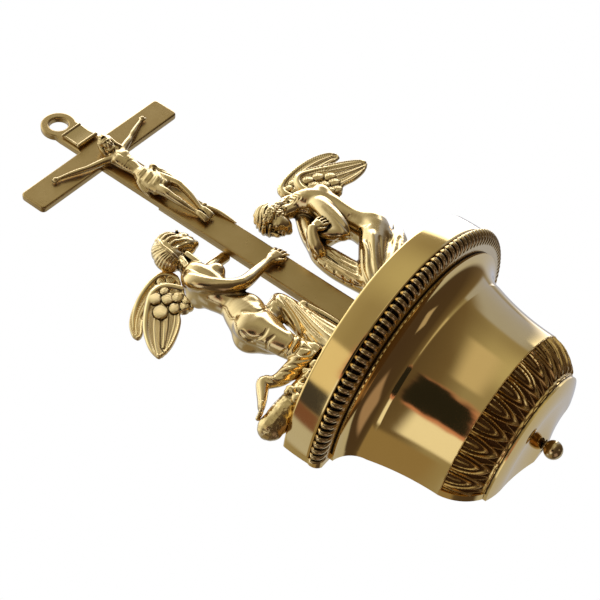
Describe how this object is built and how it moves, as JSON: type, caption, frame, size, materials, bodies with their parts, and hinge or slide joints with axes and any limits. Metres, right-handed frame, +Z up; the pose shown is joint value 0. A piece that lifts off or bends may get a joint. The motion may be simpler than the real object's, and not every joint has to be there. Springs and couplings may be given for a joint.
{
  "type": "holy water stoup",
  "caption": "Wall-hung half-bell water bowl of cast brass, with two kneeling winged figures on its rim at the foot of a crucifix with a hanging eye.",
  "frame": {"origin": "on the wall plane (back of the stoup), on the middle line of the cross, level with the top of the bowl's collar", "axes": "+Z up the wall, +Y into the wall, +X to the right as seen by a person facing the stoup"},
  "size_m": [0.1268, 0.0544, 0.236],
  "materials": {
    "collar": "satin cast brass, smooth outer face",
    "bead": "polished reeded brass",
    "bowl": "mirror-polished spun brass",
    "leaf_band": "cast brass, dark in the recesses",
    "cap": "polished brass",
    "ball": "polished brass",
    "back_plate": "plain brass plate",
    "ledge": "plain brass plate",
    "strap": "plain brass bar",
    "cross": "satin brass with bevelled front edges",
    "scroll": "cast brass, left bare",
    "screws": "plain brass",
    "rocks": "rough cast brass, brown in the hollows",
    "left_angel": "cast brass, brown patina in the folds",
    "left_wings": "cast brass, brown patina between the feathers",
    "right_angel": "cast brass, brown patina in the folds",
    "right_wings": "cast brass, brown patina between the feathers",
    "corpus": "fine cast brass, satin",
    "nails": "brass"
  },
  "bodies": {
    "root": {"rim_collar": "collar", "reeded_bead": "bead", "bowl_shell": "bowl", "leaf_band": "leaf_band", "bottom_cap": "cap", "ball_finial": "ball", "back_plate": "back_plate", "figure_ledge": "ledge", "cross_strap": "strap", "cross": "cross", "title_scroll": "scroll", "strap_screws": "screws", "cross_screws": "screws", "base_screws": "screws", "left_rock": "rocks", "right_rock": "rocks", "left_angel": "left_angel", "left_angel_near_wing": "left_wings", "left_angel_far_wing": "left_wings", "right_angel": "right_angel", "right_angel_near_wing": "right_wings", "right_angel_far_wing": "right_wings", "corpus": "corpus", "corpus_nails": "nails"}
  },
  "joints": []
}
